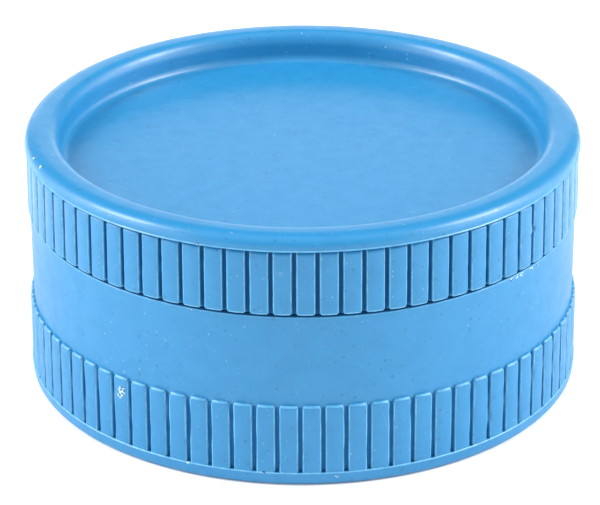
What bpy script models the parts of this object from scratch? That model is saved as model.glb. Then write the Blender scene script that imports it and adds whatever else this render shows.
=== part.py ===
"""Twist pill crusher, closed: a ribbed lid that turns on a ribbed base.

Steel crushing pins are pressed into both mouldings in rings of different radii, so that
the lid's rings pass between the base's rings as it turns. A magnet in each centre post
holds the lid down, and a low-friction ring carries the lid on the base's collar.

Units are metres, +Z is up the turning axis, and the origin is the middle of the foot.
"""

import math

import bmesh
import bpy
from mathutils import Matrix

MM = 0.001

# Whole object
FOOT_RADIUS = 30.0 * MM
TOTAL_HEIGHT = 28.0 * MM
TURN_STEPS = 64

# Grip ribs, the same count on both mouldings
RIB_COUNT = 79
GROOVE_WIDTH = 0.5 * MM
LID_GROOVE_ANGLE = math.radians(-91.8)
BASE_GROOVE_ANGLE = math.radians(-90.7)

# Lid outside
RIM_RADIUS = 29.85 * MM
RIM_ROUND_WIDE = 1.5 * MM
RIM_ROUND_TALL = 1.1 * MM
PARTING_Z = 26.6 * MM
LID_RIB_RADIUS = 29.8 * MM
LID_GROOVE_RADIUS = 29.35 * MM
LID_EDGE_Z = 19.3 * MM
RECESS_DEPTH = 3.4 * MM
RECESS_LIP_RADIUS = 27.0 * MM
RECESS_WALL_RADIUS = 26.1 * MM
RECESS_FLOOR_RADIUS = 25.3 * MM

# Lid inside
SKIRT_BORE_RADIUS = 28.3 * MM
CEILING_Z = 22.4 * MM
LID_POST_FACE_Z = 12.0 * MM

# Base outside
BAND_RADIUS = 29.5 * MM
BASE_RIB_RADIUS = 29.9 * MM
BASE_RIB_TOP_Z = 9.2 * MM
FLANGE_Z = 1.5 * MM
SHOULDER_Z = 19.15 * MM
FOOT_ROUND = 0.6 * MM
FOOT_INNER_RADIUS = 26.6 * MM
UNDERSIDE_Z = 1.5 * MM

# Base inside
COLLAR_RADIUS = 28.0 * MM
COLLAR_TOP_Z = 21.1 * MM
CHAMBER_RADIUS = 26.4 * MM
CHAMBER_FLOOR_Z = 3.5 * MM
BASE_POST_FACE_Z = 10.8 * MM

# Raised lands that the pins stand in, as (ring radius, pin count, first pin angle)
LAND_HALF_WIDTH = 2.0 * MM
LAND_HEIGHT = 2.0 * MM
BASE_RINGS = ((11.0 * MM, 6, math.radians(30.0)), (19.4 * MM, 10, math.radians(18.0)))
LID_RINGS = ((15.2 * MM, 8, math.radians(22.5)), (23.4 * MM, 12, math.radians(15.0)))

# Crushing pins
PIN_RADIUS = 1.2 * MM
PIN_CHAMFER = 0.35 * MM
PIN_SIDES = 10
SOCKET_DEPTH = 3.0 * MM
TIP_CLEARANCE = 1.2 * MM

# Magnets and their caps
POST_RADIUS = 5.6 * MM
MAGNET_RADIUS = 4.0 * MM
MAGNET_HEIGHT = 3.0 * MM
CAP_HEIGHT = 0.9 * MM
CAP_RADIUS = 4.0 * MM
INSERT_CHAMFER = 0.2 * MM
INSERT_SIDES = 24

# Glide ring
RING_OUTER_RADIUS = 28.1 * MM
RING_INNER_RADIUS = 26.6 * MM

# Gap between pieces that touch
FIT_GAP = 0.05 * MM
RING_GAP = 0.1 * MM


def clear_scene():
    """Removes whatever the scene holds."""
    for thing in list(bpy.data.objects):
        bpy.data.objects.remove(thing, do_unlink=True)


def new_collection(name):
    """A collection linked to the scene."""
    collection = bpy.data.collections.new(name)
    bpy.context.scene.collection.children.link(collection)
    return collection


def finish_material(name, colour, roughness, metallic):
    """A Principled material of one finish."""
    material = bpy.data.materials.new(name)
    material.use_nodes = True
    shader = material.node_tree.nodes["Principled BSDF"]
    shader.inputs["Base Color"].default_value = (*colour, 1.0)
    shader.inputs["Roughness"].default_value = roughness
    shader.inputs["Metallic"].default_value = metallic
    material.diffuse_color = (*colour, 1.0)
    return material


def add_object(name, mesh, collection, material=None):
    """An object for this mesh, shaded smooth with its sharp edges kept."""
    thing = bpy.data.objects.new(name, mesh)
    collection.objects.link(thing)
    if material:
        mesh.materials.append(material)
    mesh.shade_smooth()
    mesh.set_sharp_from_angle(angle=math.radians(35.0))
    return thing


def make_cutter(thing):
    """Marks an object as a helper that isn't part of the crusher."""
    thing.hide_render = True
    thing.display_type = "WIRE"


def arc(centre_r, centre_z, wide, tall, start, end, steps):
    """Points (r, z) along an ellipse arc, angles in degrees from +r towards +z."""
    points = []
    for i in range(steps + 1):
        angle = math.radians(start + (end - start) * i / steps)
        points.append((centre_r + wide * math.cos(angle), centre_z + tall * math.sin(angle)))
    return points


def turned(name, outline, collection, material=None, steps=TURN_STEPS):
    """A turned piece: outline is (r, z) from top to bottom, ends on the axis or meets itself."""
    mesh = bpy.data.meshes.new(name)
    on_axis = outline[0][0] == 0.0
    links = len(outline) - 1 if on_axis else len(outline)
    edges = [(i, (i + 1) % len(outline)) for i in range(links)]
    mesh.from_pydata([(r, 0.0, z) for r, z in outline], edges, [])
    thing = bpy.data.objects.new(name, mesh)
    collection.objects.link(thing)
    if material:
        mesh.materials.append(material)
    screw = thing.modifiers.new("Turn", "SCREW")
    screw.steps = steps
    screw.render_steps = steps
    screw.use_merge_vertices = True
    screw.merge_threshold = 0.00001
    screw.use_smooth_shade = True
    return thing


def rib_outline(root_radius, tip_radius, groove_angle):
    """The star outline of a ribbed wall: four points for each rib, counted from a groove."""
    pitch = 2.0 * math.pi / RIB_COUNT
    half_groove = 0.5 * GROOVE_WIDTH / tip_radius
    points = []
    for rib in range(RIB_COUNT):
        start = groove_angle + rib * pitch + half_groove
        end = groove_angle + (rib + 1) * pitch - half_groove
        corners = ((root_radius, start), (tip_radius, start), (tip_radius, end), (root_radius, end))
        points += [(radius * math.cos(angle), radius * math.sin(angle)) for radius, angle in corners]
    return points


def circle_outline(radius, steps=TURN_STEPS):
    """Points of a circle."""
    turn = 2.0 * math.pi / steps
    return [(radius * math.cos(i * turn), radius * math.sin(i * turn)) for i in range(steps)]


def extruded(name, outlines, low, high, collection):
    """A mesh object from flat outlines, filled between them and extruded from low to high."""
    curve = bpy.data.curves.new(name, "CURVE")
    curve.dimensions = "2D"
    curve.fill_mode = "BOTH"
    curve.extrude = 0.5 * (high - low)
    for outline in outlines:
        spline = curve.splines.new("POLY")
        spline.points.add(len(outline) - 1)
        for point, (x, y) in zip(spline.points, outline):
            point.co = (x, y, 0.0, 1.0)
        spline.use_cyclic_u = True
    guide = bpy.data.objects.new(name + "_guide", curve)
    guide.location.z = 0.5 * (high + low)
    collection.objects.link(guide)
    bpy.context.view_layer.update()
    evaluated = guide.evaluated_get(bpy.context.evaluated_depsgraph_get())
    mesh = bpy.data.meshes.new_from_object(evaluated)
    body = bmesh.new()
    body.from_mesh(mesh)
    bmesh.ops.remove_doubles(body, verts=body.verts, dist=0.000001)
    bmesh.ops.recalc_face_normals(body, faces=body.faces)
    body.to_mesh(mesh)
    body.free()
    thing = bpy.data.objects.new(name, mesh)
    thing.matrix_world = guide.matrix_world.copy()
    collection.objects.link(thing)
    bpy.data.objects.remove(guide, do_unlink=True)
    return thing


def chamfered_disc(name, radius, height, chamfer, sides, collection, material=None, one_end=False):
    """A cylinder standing on z = 0 with chamfered edges, or only its upper edge chamfered."""
    mesh = bpy.data.meshes.new(name)
    body = bmesh.new()
    bmesh.ops.create_cone(
        body, cap_ends=True, segments=sides, radius1=radius, radius2=radius, depth=height,
        matrix=Matrix.Translation((0.0, 0.0, 0.5 * height)),
    )
    if chamfer:
        lowest = 0.5 * height if one_end else -1.0
        rims = [
            edge for edge in body.edges
            if abs(edge.verts[0].co.z - edge.verts[1].co.z) < 1e-6 and edge.verts[0].co.z > lowest
        ]
        bmesh.ops.bevel(body, geom=rims, offset=chamfer, segments=1, affect="EDGES", clamp_overlap=True)
    body.to_mesh(mesh)
    body.free()
    return add_object(name, mesh, collection, material)


def combine(target, helper, operation):
    """Adds a Boolean that joins helper to target, or cuts it away."""
    boolean = target.modifiers.new(operation.title() + " " + helper.name, "BOOLEAN")
    boolean.operation = operation
    boolean.object = helper
    boolean.solver = "EXACT"


def ring_angles(count, first):
    """The angles of evenly spaced pins."""
    return [first + i * 2.0 * math.pi / count for i in range(count)]


def ring_places(rings):
    """The (x, y) of every pin in these rings, inner ring first."""
    places = []
    for radius, count, first in rings:
        for angle in ring_angles(count, first):
            places.append((radius * math.cos(angle), radius * math.sin(angle)))
    return places


def land_steps(rings, floor_z, top_z):
    """The outline points of the raised lands, from the outermost land inwards."""
    points = []
    for radius, _, _ in reversed(rings):
        outer = radius + LAND_HALF_WIDTH
        inner = radius - LAND_HALF_WIDTH
        points += [(outer, floor_z), (outer, top_z), (inner, top_z), (inner, floor_z)]
    return points


def lid_outline():
    """The lid without its ribs, from the recess in its top round to the magnet pocket."""
    recess_z = TOTAL_HEIGHT - RECESS_DEPTH
    fillet = RECESS_WALL_RADIUS - RECESS_FLOOR_RADIUS
    lip = RECESS_LIP_RADIUS - RECESS_WALL_RADIUS
    land_z = CEILING_Z - LAND_HEIGHT
    pocket_z = LID_POST_FACE_Z + CAP_HEIGHT + MAGNET_HEIGHT + 3.0 * FIT_GAP
    pocket_radius = MAGNET_RADIUS + FIT_GAP
    flat_end = RIM_RADIUS - RIM_ROUND_WIDE
    round_z = TOTAL_HEIGHT - RIM_ROUND_TALL
    outline = [(0.0, recess_z)]
    outline += arc(RECESS_FLOOR_RADIUS, recess_z + fillet, fillet, fillet, -90.0, 0.0, 2)
    outline += arc(RECESS_LIP_RADIUS, TOTAL_HEIGHT - lip, lip, lip, 180.0, 90.0, 2)
    outline += arc(flat_end, round_z, RIM_ROUND_WIDE, RIM_ROUND_TALL, 90.0, 0.0, 3)
    outline += [(RIM_RADIUS, PARTING_Z), (LID_GROOVE_RADIUS, PARTING_Z)]
    outline += [(LID_GROOVE_RADIUS, LID_EDGE_Z), (SKIRT_BORE_RADIUS, LID_EDGE_Z)]
    outline += [(SKIRT_BORE_RADIUS, CEILING_Z)]
    outline += land_steps(LID_RINGS, CEILING_Z, land_z)
    outline += [(POST_RADIUS, CEILING_Z), (POST_RADIUS, LID_POST_FACE_Z)]
    outline += [(pocket_radius, LID_POST_FACE_Z), (pocket_radius, pocket_z), (0.0, pocket_z)]
    return outline


def base_outline():
    """The base without its ribs, from the magnet pocket round to its underside."""
    pocket_z = BASE_POST_FACE_Z - CAP_HEIGHT - MAGNET_HEIGHT - 3.0 * FIT_GAP
    pocket_radius = MAGNET_RADIUS + FIT_GAP
    land_z = CHAMBER_FLOOR_Z + LAND_HEIGHT
    outline = [(0.0, pocket_z), (pocket_radius, pocket_z), (pocket_radius, BASE_POST_FACE_Z)]
    outline += [(POST_RADIUS, BASE_POST_FACE_Z), (POST_RADIUS, CHAMBER_FLOOR_Z)]
    outline += list(reversed(land_steps(BASE_RINGS, CHAMBER_FLOOR_Z, land_z)))
    outline += [(CHAMBER_RADIUS, CHAMBER_FLOOR_Z), (CHAMBER_RADIUS, COLLAR_TOP_Z)]
    outline += [(COLLAR_RADIUS, COLLAR_TOP_Z), (COLLAR_RADIUS, SHOULDER_Z)]
    outline += [(BAND_RADIUS, SHOULDER_Z), (BAND_RADIUS, FLANGE_Z), (FOOT_RADIUS, FLANGE_Z)]
    outline += arc(FOOT_RADIUS - FOOT_ROUND, FOOT_ROUND, FOOT_ROUND, FOOT_ROUND, 0.0, -90.0, 2)
    outline += [(FOOT_INNER_RADIUS, 0.0), (FOOT_INNER_RADIUS, UNDERSIDE_Z), (0.0, UNDERSIDE_Z)]
    return outline


def socket_cutters(name, rings, mouth_z, inwards, collection):
    """One cutter holding every pin socket; inwards is +1 where the sockets go up from their mouth."""
    mesh = bpy.data.meshes.new(name)
    body = bmesh.new()
    overshoot = 0.5 * LAND_HEIGHT
    depth = SOCKET_DEPTH + overshoot
    middle = mouth_z + inwards * (0.5 * depth - overshoot)
    for x, y in ring_places(rings):
        bmesh.ops.create_cone(
            body, cap_ends=True, segments=PIN_SIDES, radius1=PIN_RADIUS + FIT_GAP,
            radius2=PIN_RADIUS + FIT_GAP, depth=depth, matrix=Matrix.Translation((x, y, middle)),
        )
    body.to_mesh(mesh)
    body.free()
    cutter = bpy.data.objects.new(name, mesh)
    collection.objects.link(cutter)
    return cutter


def make_lid(parts, cutters, plastic):
    """The lid moulding: recessed top, rounded rim, ribbed skirt, lands and centre post."""
    lid = turned("lid_shell", lid_outline(), parts, plastic)
    ribs = extruded(
        "lid_rib_ring",
        (rib_outline(LID_GROOVE_RADIUS - 0.2 * MM, LID_RIB_RADIUS, LID_GROOVE_ANGLE),
         circle_outline(SKIRT_BORE_RADIUS + 0.4 * MM)),
        LID_EDGE_Z, PARTING_Z + 0.15 * MM, cutters,
    )
    sockets = socket_cutters("lid_sockets", LID_RINGS, CEILING_Z - LAND_HEIGHT, 1.0, cutters)
    combine(lid, ribs, "UNION")
    combine(lid, sockets, "DIFFERENCE")
    return lid


def make_base(parts, cutters, plastic):
    """The base moulding: foot, ribbed wall, plain band, collar, lands and centre post."""
    base = turned("base_shell", base_outline(), parts, plastic)
    ribs = extruded(
        "base_rib_ring",
        (rib_outline(BAND_RADIUS - 0.3 * MM, BASE_RIB_RADIUS, BASE_GROOVE_ANGLE),
         circle_outline(BAND_RADIUS - 0.9 * MM)),
        FLANGE_Z - 0.3 * MM, BASE_RIB_TOP_Z, cutters,
    )
    sockets = socket_cutters("base_sockets", BASE_RINGS, CHAMBER_FLOOR_Z + LAND_HEIGHT, -1.0, cutters)
    combine(base, ribs, "UNION")
    combine(base, sockets, "DIFFERENCE")
    return base


def make_pins(prefix, rings, foot_z, tip_z, parts, steel, parent):
    """The pins of one moulding, from the bottom of each socket to a chamfered tip."""
    for number, (x, y) in enumerate(ring_places(rings), 1):
        name = f"{prefix}_pin_{number:02d}"
        length = abs(tip_z - foot_z)
        pin = chamfered_disc(name, PIN_RADIUS, length, PIN_CHAMFER, PIN_SIDES, parts, steel, one_end=True)
        pin.parent = parent
        pin.location = (x, y, foot_z)
        if tip_z < foot_z:
            pin.rotation_euler.x = math.pi


def make_base_pins(parts, steel, base):
    """Pins that stand up from the base's lands."""
    foot_z = CHAMBER_FLOOR_Z + LAND_HEIGHT - SOCKET_DEPTH + FIT_GAP
    make_pins("base", BASE_RINGS, foot_z, CEILING_Z - TIP_CLEARANCE, parts, steel, base)


def make_lid_pins(parts, steel, lid):
    """Pins that hang from the lid's lands."""
    foot_z = CEILING_Z - LAND_HEIGHT + SOCKET_DEPTH - FIT_GAP
    make_pins("lid", LID_RINGS, foot_z, CHAMBER_FLOOR_Z + TIP_CLEARANCE, parts, steel, lid)


def make_insert(name, radius, low_z, height, parts, material, parent):
    """A magnet or a cap on the axis."""
    insert = chamfered_disc(name, radius, height, INSERT_CHAMFER, INSERT_SIDES, parts, material)
    insert.parent = parent
    insert.location.z = low_z


def make_base_magnet(parts, nickel, plastic, base):
    """The magnet in the base's centre post, under the cap that closes its pocket."""
    cap_z = BASE_POST_FACE_Z - CAP_HEIGHT
    magnet_z = cap_z - MAGNET_HEIGHT - 2.0 * FIT_GAP
    make_insert("base_magnet", MAGNET_RADIUS, magnet_z, MAGNET_HEIGHT, parts, nickel, base)
    make_insert("base_magnet_cap", CAP_RADIUS, cap_z, CAP_HEIGHT, parts, plastic, base)


def make_lid_magnet(parts, nickel, plastic, lid):
    """The magnet in the lid's centre post, above the cap that closes its pocket."""
    magnet_z = LID_POST_FACE_Z + CAP_HEIGHT + 2.0 * FIT_GAP
    make_insert("lid_magnet", MAGNET_RADIUS, magnet_z, MAGNET_HEIGHT, parts, nickel, lid)
    make_insert("lid_magnet_cap", CAP_RADIUS, LID_POST_FACE_Z, CAP_HEIGHT, parts, plastic, lid)


def make_glide_ring(parts, nylon, base):
    """The ring that carries the lid's ceiling on the collar."""
    low = COLLAR_TOP_Z + RING_GAP
    high = CEILING_Z - RING_GAP
    outline = [(RING_INNER_RADIUS, high), (RING_OUTER_RADIUS, high)]
    outline += [(RING_OUTER_RADIUS, low), (RING_INNER_RADIUS, low)]
    ring = turned("glide_ring", outline, parts, nylon)
    ring.parent = base
    return ring


def build():
    clear_scene()
    parts = new_collection("pill_crusher")
    cutters = new_collection("cutters")
    plastic = finish_material("moulded_blue", (0.055, 0.31, 0.70), 0.45, 0.0)
    steel = finish_material("ground_steel", (0.62, 0.62, 0.60), 0.3, 1.0)
    nickel = finish_material("nickel_plated", (0.75, 0.73, 0.68), 0.2, 1.0)
    nylon = finish_material("natural_nylon", (0.82, 0.80, 0.72), 0.5, 0.0)

    base = make_base(parts, cutters, plastic)
    ring = make_glide_ring(parts, nylon, base)
    lid = make_lid(parts, cutters, plastic)
    lid.parent = ring
    make_base_pins(parts, steel, base)
    make_lid_pins(parts, steel, lid)
    make_base_magnet(parts, nickel, plastic, base)
    make_lid_magnet(parts, nickel, plastic, lid)
    for helper in cutters.objects:
        make_cutter(helper)


build()
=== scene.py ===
# %% [markdown]
# # A twist pill crusher, closed
# Two blue mouldings make the whole outside. The lid has a sunk top, a round rim and a skirt
# of grip ribs, and it turns on a base with a plain band, more ribs and a thin foot flange.
# Inside are steel pins, two magnets under caps, and a ring that the lid glides on.
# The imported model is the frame: it says where every piece is. This script only gives each
# piece its finished surface, with rounded edges, and a material with real detail.

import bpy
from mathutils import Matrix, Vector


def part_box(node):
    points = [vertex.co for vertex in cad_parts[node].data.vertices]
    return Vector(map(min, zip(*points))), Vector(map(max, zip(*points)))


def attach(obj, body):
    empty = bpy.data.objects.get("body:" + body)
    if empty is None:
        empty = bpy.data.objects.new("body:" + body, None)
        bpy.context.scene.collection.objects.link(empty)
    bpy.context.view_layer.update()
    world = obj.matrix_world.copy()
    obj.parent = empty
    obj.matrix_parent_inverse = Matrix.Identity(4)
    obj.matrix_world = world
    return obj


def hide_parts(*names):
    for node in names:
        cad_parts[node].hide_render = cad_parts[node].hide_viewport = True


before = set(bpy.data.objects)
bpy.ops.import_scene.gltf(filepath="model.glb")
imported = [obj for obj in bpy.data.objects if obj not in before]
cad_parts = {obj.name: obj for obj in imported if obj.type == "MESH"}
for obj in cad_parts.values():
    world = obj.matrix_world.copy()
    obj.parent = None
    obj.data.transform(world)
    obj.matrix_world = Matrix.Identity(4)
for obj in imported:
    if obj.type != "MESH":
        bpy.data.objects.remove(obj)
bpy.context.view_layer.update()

# %% Modules and units
import math

import bmesh
import bpy
import numpy as np
from mathutils import Matrix, Vector

MM = 0.001
SHARP_ANGLE = math.radians(38.0)


def to_mm(corner):
    """A corner of a box, in millimetres."""
    return corner / MM


# %% [markdown]
# ## Outlines that turn
# Nearly everything here is round, so a piece starts as half of its section: a list of corners,
# each with its distance from the axis, its height and how round it is. Blender's Screw modifier
# could turn such a section, but the grip ribs need rings whose points move in and out, so the
# rings are made as arrays of points and joined by hand. A ring can then have any shape.


# %% A section with rounded corners
def rounded(corners, steps=4):
    """The outline through (radius, height, rounding) corners, with an arc at each rounded one."""
    outline = []
    for i, (radius, height, rounding) in enumerate(corners):
        here = Vector((radius, height))
        if rounding == 0.0:
            outline.append(here)
            continue
        before = (Vector(corners[i - 1][:2]) - here).normalized()
        after = (Vector(corners[(i + 1) % len(corners)][:2]) - here).normalized()
        half = 0.5 * before.angle(after)
        centre = here + (before + after).normalized() * (rounding / math.sin(half))
        start = here + before * (rounding / math.tan(half)) - centre
        end = here + after * (rounding / math.tan(half)) - centre
        first = math.atan2(start.y, start.x)
        turn = (math.atan2(end.y, end.x) - first + math.pi) % (2.0 * math.pi) - math.pi
        for k in range(steps + 1):
            angle = first + turn * k / steps
            outline.append(centre + rounding * Vector((math.cos(angle), math.sin(angle))))
    return outline


def ring(radius, height, angles):
    """A ring of points in millimetres; radius and height are one value or one for each angle."""
    around = np.ones(len(angles))
    return np.stack(
        (radius * around * np.cos(angles), radius * around * np.sin(angles), height * around), axis=1
    )


def rings_of(outline, angles):
    """One ring for each point of an outline."""
    return [ring(point[0], point[1], angles) for point in outline]


def even_angles(count, first=0.0):
    """Evenly spaced angles all the way round."""
    return first + np.arange(count) * (2.0 * math.pi / count)


print("a rounded corner has", len(rounded([(0, 0, 0), (1, 0, 0.2), (1, 1, 0)])) - 2, "points")


# %% Rings joined into one closed surface
def joined(name, rings, closed=False):
    """A mesh through these rings. Where their counts differ, each wide face takes several points."""
    starts = np.cumsum([0] + [len(one) for one in rings])
    pairs = [(i, i + 1) for i in range(len(rings) - 1)]
    if closed:
        pairs.append((len(rings) - 1, 0))
    faces = []
    for a, b in pairs:
        share = min(len(rings[a]), len(rings[b]))
        for k in range(share):
            face = []
            for which, order in ((a, 1), (b, -1)):
                count = len(rings[which])
                wide = count // share
                face += [int(starts[which] + (k * wide + s) % count) for s in range(wide + 1)][::order]
            faces.append(face)
    if not closed:
        faces.append(list(range(len(rings[0])))[::-1])
        faces.append([int(starts[-2]) + i for i in range(len(rings[-1]))])
    mesh = bpy.data.meshes.new(name)
    mesh.from_pydata((np.concatenate(rings) * MM).tolist(), [], faces)
    body = bmesh.new()
    body.from_mesh(mesh)
    bmesh.ops.recalc_face_normals(body, faces=body.faces)
    body.to_mesh(mesh)
    body.free()
    return mesh


def finished(name, mesh, material, body, slot, *nodes):
    """An object for this mesh that rides on a body and stands for these nodes."""
    mesh.shade_smooth()
    mesh.set_sharp_from_angle(angle=SHARP_ANGLE)
    mesh.materials.clear()
    mesh.materials.append(material)
    piece = bpy.data.objects.new(name, mesh)
    bpy.context.scene.collection.objects.link(piece)
    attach(piece, body)
    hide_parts(*nodes)
    return piece


print("rings can be joined, capped and finished")

# %% [markdown]
# ## Grip ribs
# Both mouldings carry the same count of flat-topped ribs with narrow grooves between them.
# They could be cut by a Boolean, but 79 cutters are slow and leave untidy faces at every edge.
# So a ribbed ring has fourteen points for each rib: thirteen close together across the groove,
# to round the rib's edges, and one in the middle of the rib. Near a rib's end the height comes
# from the distance to the nearest edge, so that its corners come out round as well.

# %% Rib sizes
RIB_COUNT = 79
RIB_PITCH = 2.0 * math.pi / RIB_COUNT
LID_GROOVE_ANGLE = math.radians(-91.8)
BASE_GROOVE_ANGLE = math.radians(-90.7)
GROOVE_HALF = 0.18
FLANK_RUN = 0.03
EDGE_ROUND = 0.22
END_CORNER = 0.38
# Distances in from a rib's edge: up its flank, then over its rounded edge.
EDGE_STEPS = (0.0, FLANK_RUN) + tuple(
    FLANK_RUN + EDGE_ROUND * (1.0 - math.cos(math.radians(angle))) for angle in (30.0, 60.0, 90.0)
)
# Distances out from the middle of a groove.
GROOVE_OFFSETS = (0.10,) + tuple(GROOVE_HALF + step for step in EDGE_STEPS)
FAR_FROM_END = 9.0
WIDE_ANGLES_PER_RIB = 2
SWAY_KNOTS = 7
print("groove columns at", [round(offset, 3) for offset in GROOVE_OFFSETS], "mm")


# %% The points of a ribbed ring
def rib_rise(inside, height):
    """How far the rib stands up, at this distance inside its edge."""
    flank = (height - EDGE_ROUND) * np.clip(inside / FLANK_RUN, 0.0, 1.0)
    into = np.clip(inside - FLANK_RUN, 0.0, EDGE_ROUND)
    return flank + np.sqrt(EDGE_ROUND ** 2 - (EDGE_ROUND - into) ** 2)


def edge_distance(across, along):
    """The distance inside a rib with rounded corners, from its flank and from its end."""
    in_across, in_along = END_CORNER - across, END_CORNER - along
    corner = END_CORNER - np.hypot(np.clip(in_across, 0.0, None), np.clip(in_along, 0.0, None))
    return np.where((in_across > 0.0) & (in_along > 0.0), corner, np.minimum(across, along))


def groove_sway(seed, levels, reach):
    """For each groove and level, how far the cutter strayed sideways, as a random bent line."""
    dice = np.random.RandomState(seed)
    knots = np.linspace(0.0, 1.0, SWAY_KNOTS)
    places = np.linspace(0.0, 1.0, levels)
    lines = [np.interp(places, knots, dice.normal(0.0, reach, SWAY_KNOTS)) for _ in range(RIB_COUNT)]
    return np.array(lines)


def ribbed_ring(first, height, root, tip, to_end, sway):
    """One ring of ribs and grooves at this height.

    first is the angle of the first groove, root and tip are the radii of the grooves' floors and
    the ribs' tops, to_end is how far the nearest end of the ribs is, and sway is how far each
    groove has strayed. The middle of a rib never strays.
    """
    half_pitch = 0.5 * RIB_PITCH * tip
    before_groove = tuple(-offset for offset in GROOVE_OFFSETS[::-1])
    offsets = np.array((0.0,) + GROOVE_OFFSETS + (half_pitch,) + before_groove)
    rib_middle = len(GROOVE_OFFSETS) + 1
    moves = np.where(np.arange(len(offsets)) == rib_middle, 0.0, 1.0)
    grooves = np.arange(RIB_COUNT) * RIB_PITCH + first
    centres = np.repeat(grooves, len(offsets))
    falls_back = np.arange(len(offsets)) > rib_middle
    centres = centres + np.tile(np.where(falls_back, RIB_PITCH, 0.0), RIB_COUNT)
    sideways = np.stack((sway, np.roll(sway, -1)), axis=1)[:, falls_back.astype(int)] * moves
    angles = centres + (np.tile(offsets, RIB_COUNT) + sideways.ravel()) / tip
    inside = edge_distance(np.abs(np.tile(offsets, RIB_COUNT)) - GROOVE_HALF, to_end)
    return ring(root + rib_rise(inside, tip - root), height, angles)


def wide_angles(first):
    """The angles of a smooth ring that lines up with the ribs."""
    return even_angles(WIDE_ANGLES_PER_RIB * RIB_COUNT, first)


def ribbed_angles(first, radius):
    """The angles of a ribbed ring's points where nothing strays."""
    points = ribbed_ring(first, 0.0, radius - 1.0, radius, FAR_FROM_END, np.zeros(RIB_COUNT))
    return np.arctan2(points[:, 1], points[:, 0])


print("a ribbed ring has", len(ribbed_angles(0.0, 30.0)), "points")

# %% [markdown]
# ## The lid moulding
# The section runs from the middle of the sunk top, up its wall and over the rounded rim to the
# parting line, where the two halves of the mould left a fine raised bead. Under it the ribbed
# rings go down to the skirt's edge. The section then goes up inside the skirt, along the
# ceiling with its two raised lands, and down the centre post to the magnet's pocket. One skin
# for all of it keeps the moulding a single closed solid, as it is when it leaves the mould.

# %% Lid sizes
lid_low, lid_high = (to_mm(corner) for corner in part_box("lid_shell"))
TOP = lid_high.z
RIM_RADIUS = 29.85
RIM_ROUND_WIDE = 1.5
RIM_ROUND_TALL = 1.1
PARTING = 26.46
BEAD_TALL = 0.17
BEAD_PROUD = 0.07
NECK_DEPTH = 0.20
RECESS_FLOOR = TOP - 3.4
RECESS_RADIUS = 26.1
RECESS_FILLET = 0.9
LIP_WIDE = 1.3
LIP_TALL = 1.6
LID_EDGE = 19.36
LID_ROOT = 29.25
LID_RIB_LEVELS = 25
LID_SWAY = 0.012
# Each step of the neck is (how far below the parting line, share of the neck's depth).
NECK_STEPS = ((0.0, 1.0), (0.16, 1.0), (0.22, 0.55), (0.31, 0.15))
NECK_END = 0.42
KINKED_GROOVE = 12
KINK_LEVEL = 9
# How far the kinked groove strays at four levels, from KINK_LEVEL down.
KINK = np.array((0.06, 0.16, 0.10, -0.08))
LID_TIP_HIGH = 29.76
LID_TIP_LOW = 29.84
SKIRT_BORE = 28.3
CEILING = 22.4
LAND_HALF = 2.0
LAND_TALL = 2.0
LAND_DRAFT = 0.05
LAND_FILLET = 0.3
LAND_ROUND = 0.25
POST_RADIUS = 5.6
POST_DRAFT = 0.1
POST_FILLET = 0.6
POST_ROUND = 0.4
POCKET_RADIUS = 4.05
POCKET_ROUND = 0.12
LID_POST_FACE = lid_low.z
LID_POCKET_DEPTH = 4.05
LID_RINGS = (15.2, 23.4)
print("lid from", round(lid_low.z, 2), "to", round(TOP, 2), "mm")


# %% Lid section
def lands(ring_radii, floor, top):
    """Corners of the raised lands, from the outermost one inwards, with a little draft."""
    corners = []
    for radius in sorted(ring_radii, reverse=True):
        outer, inner = radius + LAND_HALF, radius - LAND_HALF
        corners += [(outer + LAND_DRAFT, floor, LAND_FILLET), (outer, top, LAND_ROUND)]
        corners += [(inner, top, LAND_ROUND), (inner - LAND_DRAFT, floor, LAND_FILLET)]
    return corners


def oval(centre_radius, centre_height, wide, tall, start, end, steps=10):
    """Points along a quarter of an oval, angles in degrees from straight out towards up."""
    turns = (math.radians(start + (end - start) * k / steps) for k in range(steps + 1))
    return [
        Vector((centre_radius + wide * math.cos(turn), centre_height + tall * math.sin(turn)))
        for turn in turns
    ]


def lid_rim_outline():
    """From the middle of the sunk top to the parting bead."""
    lip_start = RECESS_RADIUS + LIP_WIDE
    rim_start = RIM_RADIUS - RIM_ROUND_WIDE
    corners = [(RECESS_RADIUS - 6.0, RECESS_FLOOR, 0.0), (RECESS_RADIUS, RECESS_FLOOR, RECESS_FILLET)]
    corners += [(RECESS_RADIUS, TOP, 0.0)]
    outline = rounded(corners, steps=8)[:-1]
    outline += oval(lip_start, TOP - LIP_TALL, LIP_WIDE, LIP_TALL, 180.0, 90.0)
    outline += oval(rim_start, TOP - RIM_ROUND_TALL, RIM_ROUND_WIDE, RIM_ROUND_TALL, 90.0, 0.0)
    return outline


def parting_bead_rings(angles):
    """A low bead that stands out a little unevenly, and the ledge under it."""
    dice = np.random.RandomState(5)
    proud = RIM_RADIUS + BEAD_PROUD + dice.normal(0.0, 0.008, len(angles))
    return [
        ring(RIM_RADIUS, PARTING + BEAD_TALL, angles),
        ring(proud, PARTING + 0.6 * BEAD_TALL, angles),
        ring(proud, PARTING + 0.25 * BEAD_TALL, angles),
        ring(RIM_RADIUS - 0.04, PARTING, angles),
    ]


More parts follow.
